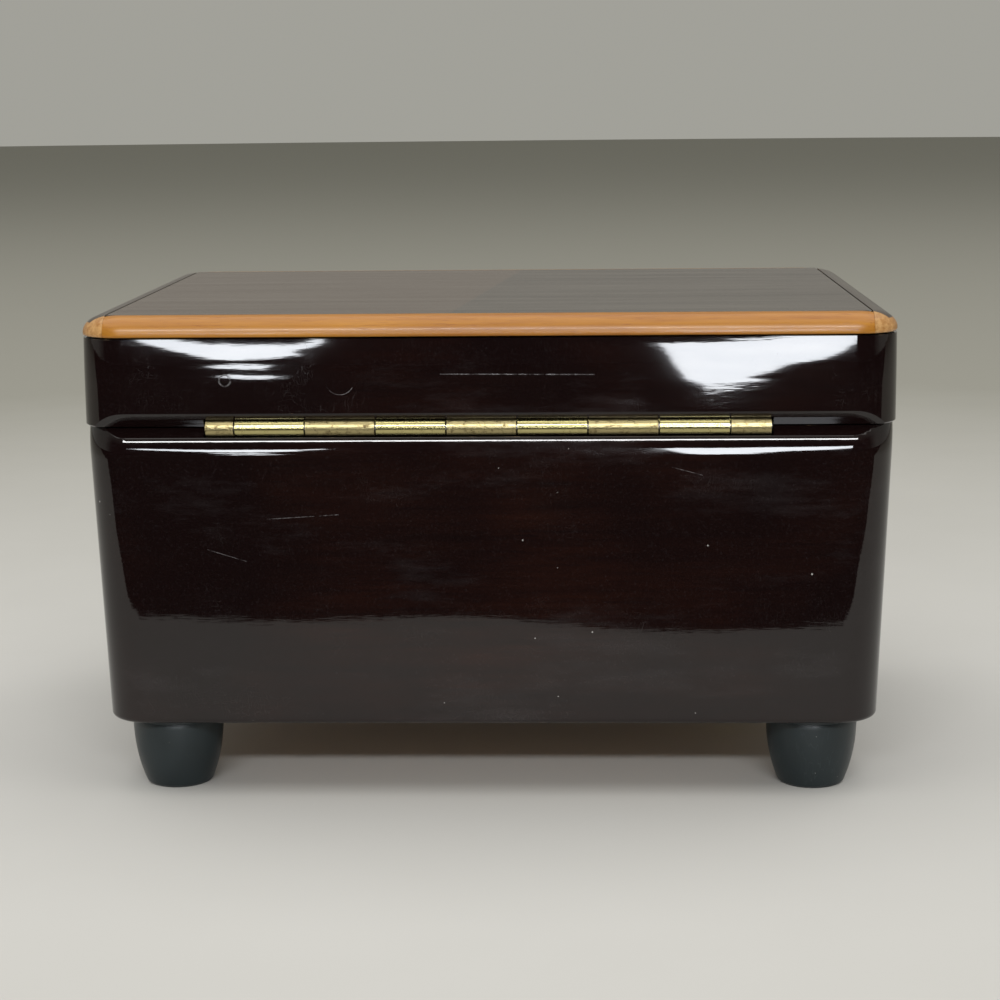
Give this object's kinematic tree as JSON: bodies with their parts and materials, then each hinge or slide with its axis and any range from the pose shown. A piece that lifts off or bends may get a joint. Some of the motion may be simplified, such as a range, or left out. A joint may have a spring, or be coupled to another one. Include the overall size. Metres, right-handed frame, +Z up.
{
  "type": "music box",
  "caption": "Small lacquered wooden music box with a piano-hinged lid, turned feet, a lined compartment and a wind-up comb movement.",
  "frame": {"origin": "on the surface that the feet stand on, under the middle of the box", "axes": "+Z up; +Y towards the rear, where the hinge is; +X to the right, seen from the front"},
  "size_m": [0.147, 0.11, 0.0894],
  "materials": {
    "dark_lacquer": "very dark reddish-brown wood under a thick, high-gloss clear lacquer",
    "dark_veneer": "dark brown veneer, glossy",
    "honey_wood": "honey-coloured hardwood edging, lacquered",
    "bare_wood": "plain sanded wood",
    "foot_paint": "turned wood, dark teal satin paint",
    "hinge_brass": "worn brass",
    "movement_brass": "clean brass",
    "steel": "bright steel",
    "cast_zinc": "grey die-cast zinc, as cast",
    "nylon": "off-white moulded plastic",
    "velvet": "dark red velvet",
    "clear_plastic": "clear acrylic sheet"
  },
  "bodies": {
    "casing": {"base_front_wall": "dark_lacquer", "base_rear_wall": "dark_lacquer", "base_left_wall": "dark_lacquer", "base_right_wall": "dark_lacquer", "bottom_panel": "bare_wood", "foot_front_left": "foot_paint", "foot_front_right": "foot_paint", "foot_rear_left": "foot_paint", "foot_rear_right": "foot_paint", "partition": "bare_wood", "cover_ledge_front": "bare_wood", "cover_ledge_rear": "bare_wood", "storage_floor_pad": "velvet", "storage_lining_front": "velvet", "storage_lining_rear": "velvet", "storage_lining_left": "velvet", "storage_lining_right": "velvet", "hinge_leaf_base": "hinge_brass", "hinge_pin": "steel", "hinge_screw_base_left": "hinge_brass", "hinge_screw_base_right": "hinge_brass", "bedplate": "cast_zinc", "movement_screw_1": "steel", "movement_screw_2": "steel", "movement_screw_3": "steel", "spring_barrel": "movement_brass", "mainspring": "steel", "bearing_left": "movement_brass", "bearing_right": "movement_brass", "comb": "steel", "comb_screw_left": "steel", "comb_screw_right": "steel", "governor_frame": "movement_brass"},
    "lid": {"lid_front_rail": "dark_lacquer", "lid_rear_rail": "dark_lacquer", "lid_left_rail": "dark_lacquer", "lid_right_rail": "dark_lacquer", "lid_panel": "dark_veneer", "lid_lining": "velvet", "edge_strip_front": "honey_wood", "edge_strip_rear": "honey_wood", "edge_strip_left": "honey_wood", "edge_strip_right": "honey_wood", "hinge_leaf_lid": "hinge_brass", "hinge_screw_lid_left": "hinge_brass", "hinge_screw_lid_right": "hinge_brass"},
    "cylinder_train": {"cylinder": "movement_brass", "cylinder_arbor": "steel", "cylinder_gear": "movement_brass"},
    "winding_train": {"winding_key": "movement_brass", "winding_arbor": "steel", "great_wheel": "movement_brass"},
    "governor_train": {"governor_wheel": "nylon", "governor_axle": "steel"},
    "worm_train": {"worm_shaft": "steel", "air_fly": "steel"},
    "stop_wire": {"stop_wire": "steel"},
    "cover": {"movement_cover": "clear_plastic"}
  },
  "joints": [
    {"name": "lid_hinge", "type": "hinge", "parent": "casing", "child": "lid", "pos_m": [0, 0.053, 0.0692], "axis": [-1, 0, 0], "range_deg": [0, 100]},
    {"name": "cylinder_turn", "type": "hinge", "parent": "casing", "child": "cylinder_train", "pos_m": [-0.0361, 0, 0.03461], "axis": [1, 0, 0], "continuous": true},
    {"name": "key_turn", "type": "hinge", "parent": "casing", "child": "winding_train", "pos_m": [-0.0507, 0, 0.014], "axis": [0, 0, 1], "continuous": true},
    {"name": "governor_turn", "type": "hinge", "parent": "casing", "child": "governor_train", "pos_m": [-0.0165, 0.00693, 0.03061], "axis": [1, 0, 0], "continuous": true},
    {"name": "fly_turn", "type": "hinge", "parent": "casing", "child": "worm_train", "pos_m": [-0.0157, 0.01348, 0.03061], "axis": [0, 0, 1], "continuous": true},
    {"name": "stop_wire_slide", "type": "slide", "parent": "casing", "child": "stop_wire", "axis": [0, 0, 1], "range_m": [0, 0.003]},
    {"name": "cover_lift", "type": "slide", "parent": "casing", "child": "cover", "axis": [0, 0, 1], "range_m": [0, 0.013]}
  ],
  "couplings": [
    {"joint": "key_turn", "follows": "cylinder_turn", "ratio": 0.25},
    {"joint": "governor_turn", "follows": "cylinder_turn", "ratio": -4},
    {"joint": "fly_turn", "follows": "cylinder_turn", "ratio": 80},
    {"joint": "stop_wire_slide", "follows": "lid_hinge", "m_per_rad": 0.001718}
  ]
}
